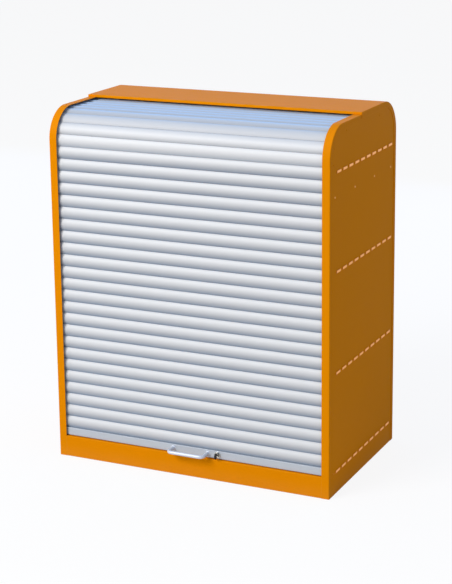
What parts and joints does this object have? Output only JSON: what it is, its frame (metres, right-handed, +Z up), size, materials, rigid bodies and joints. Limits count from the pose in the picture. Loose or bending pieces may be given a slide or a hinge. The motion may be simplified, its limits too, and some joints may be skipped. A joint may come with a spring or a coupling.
{
  "type": "tambour storage cabinet",
  "caption": "Orange sheet-steel storage cabinet with a silver tambour shutter that runs up the front and back over the rounded top, a bow handle, a cam lock and fixed shelves.",
  "frame": {"origin": "on the floor under the middle of the cabinet", "axes": "+Z up, the shutter faces -Y, +X to the right as seen from the front"},
  "size_m": [1.005, 0.6412, 1.22],
  "materials": {
    "orange_enamel": "satin orange enamel on folded sheet steel",
    "slat_aluminium": "silver satin slats",
    "bar_aluminium": "matt anodised bar",
    "track_nylon": "dark moulded nylon",
    "zinc_steel": "zinc plated",
    "bright_steel": "bright rolled steel",
    "handle_steel": "satin brushed rod",
    "lock_nickel": "nickel plated",
    "seal_rubber": "matt grey rubber",
    "key_plastic": "black moulded bow"
  },
  "bodies": {
    "carcass": {"left_side_panel": "orange_enamel", "right_side_panel": "orange_enamel", "left_edge_band": "orange_enamel", "right_edge_band": "orange_enamel", "left_stiffener": "orange_enamel", "right_stiffener": "orange_enamel", "left_rivets": "orange_enamel", "right_rivets": "orange_enamel", "left_track_screws": "orange_enamel", "right_track_screws": "orange_enamel", "top_cover": "orange_enamel", "back_panel": "orange_enamel", "inner_back_panel": "orange_enamel", "inner_ceiling": "orange_enamel", "upper_shelf": "orange_enamel", "lower_shelf": "orange_enamel", "base_shelf": "orange_enamel", "plinth": "orange_enamel", "rear_base_rail": "orange_enamel", "left_base_rail": "orange_enamel", "right_base_rail": "orange_enamel", "base_brace": "orange_enamel", "front_slats": "slat_aluminium", "corner_slats": "slat_aluminium", "top_slats": "slat_aluminium", "tail_bar": "bar_aluminium", "left_guide_track": "track_nylon", "right_guide_track": "track_nylon", "front_runners": "track_nylon", "upper_runners": "track_nylon", "cover_screws": "zinc_steel", "striker_screws": "zinc_steel", "striker": "bright_steel"},
    "shutter": {"bottom_bar": "bar_aluminium", "bar_seal": "seal_rubber", "bar_end_caps": "track_nylon", "handle": "handle_steel", "handle_screws": "zinc_steel", "lock_housing": "lock_nickel", "lock_nut": "zinc_steel"},
    "lock": {"lock_plug": "lock_nickel", "lock_cam": "bright_steel", "cam_screw": "zinc_steel"},
    "key": {"key_blade": "bright_steel", "key_bow": "key_plastic"}
  },
  "joints": [
    {"name": "shutter_slide", "type": "slide", "parent": "carcass", "child": "shutter", "axis": [0, 0, 1], "range_m": [0, 0.94], "deforming": ["front_slats", "front_runners"]},
    {"name": "lock_turn", "type": "hinge", "parent": "shutter", "child": "lock", "pos_m": [0.1, -0.295, 0.0885], "axis": [0, -1, 0], "range_deg": [0, 90]},
    {"name": "key_pull", "type": "slide", "parent": "lock", "child": "key", "axis": [0, -1, 0], "range_m": [0, 0.024]}
  ]
}
